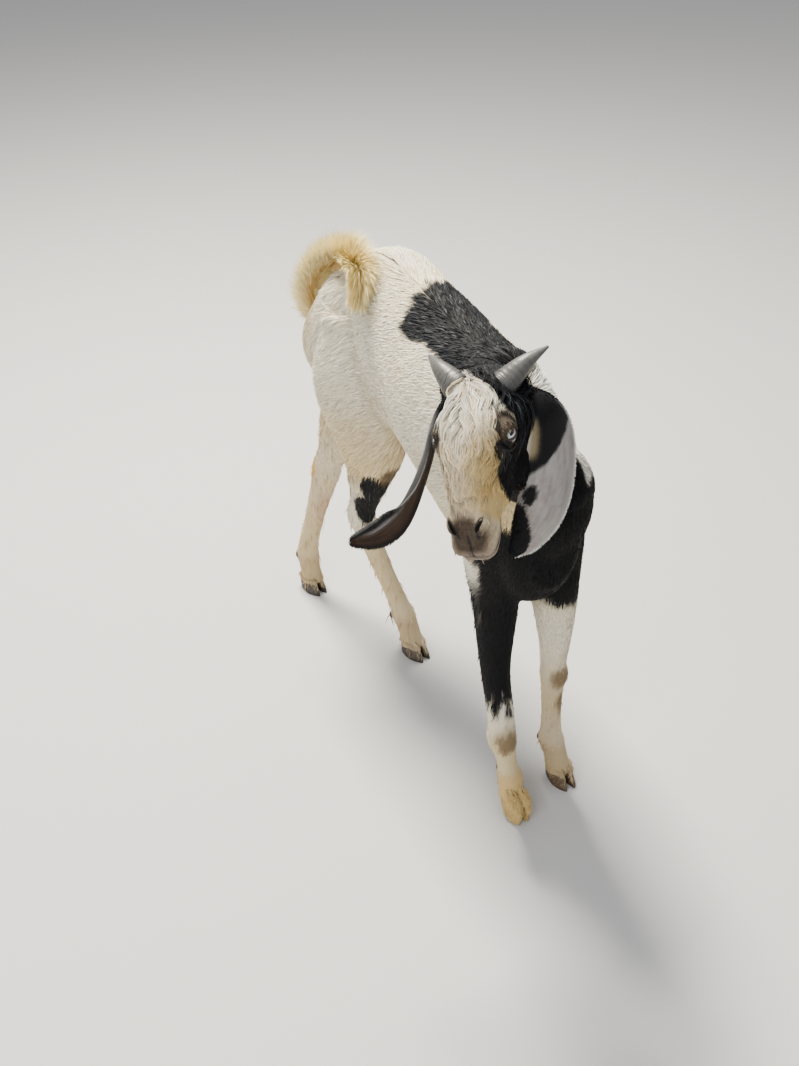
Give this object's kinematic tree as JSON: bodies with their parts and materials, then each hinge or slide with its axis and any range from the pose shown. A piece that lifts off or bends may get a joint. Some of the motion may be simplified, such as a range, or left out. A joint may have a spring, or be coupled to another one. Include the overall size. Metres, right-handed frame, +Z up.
{
  "type": "young drop-eared billy goat",
  "caption": "Life-size still model of a young drop-eared billy goat, walking with its head lowered and turned, short horns back and tail curled over the croup.",
  "frame": {"origin": "on the floor, under the middle of the whole model's box", "axes": "+Z up, the trunk faces -Y, the goat's own left is +X"},
  "size_m": [0.4034, 0.7859, 0.7821],
  "materials": {
    "coat": "short to medium hair, cream white with black patches",
    "ear": "thin skin with very short hair, grey with black patches",
    "horn": "grey ringed horn",
    "hoof": "dark dull horn",
    "eye": "wet gloss"
  },
  "bodies": {
    "root": {"torso": "coat", "neck": "coat", "head": "coat", "tail": "coat", "leg_front_left": "coat", "leg_front_right": "coat", "leg_hind_left": "coat", "leg_hind_right": "coat", "ear_left": "ear", "ear_right": "ear", "horn_left": "horn", "horn_right": "horn", "eye_left": "eye", "eye_right": "eye", "hoof_front_left": "hoof", "hoof_front_right": "hoof", "hoof_hind_left": "hoof", "hoof_hind_right": "hoof"}
  },
  "joints": []
}
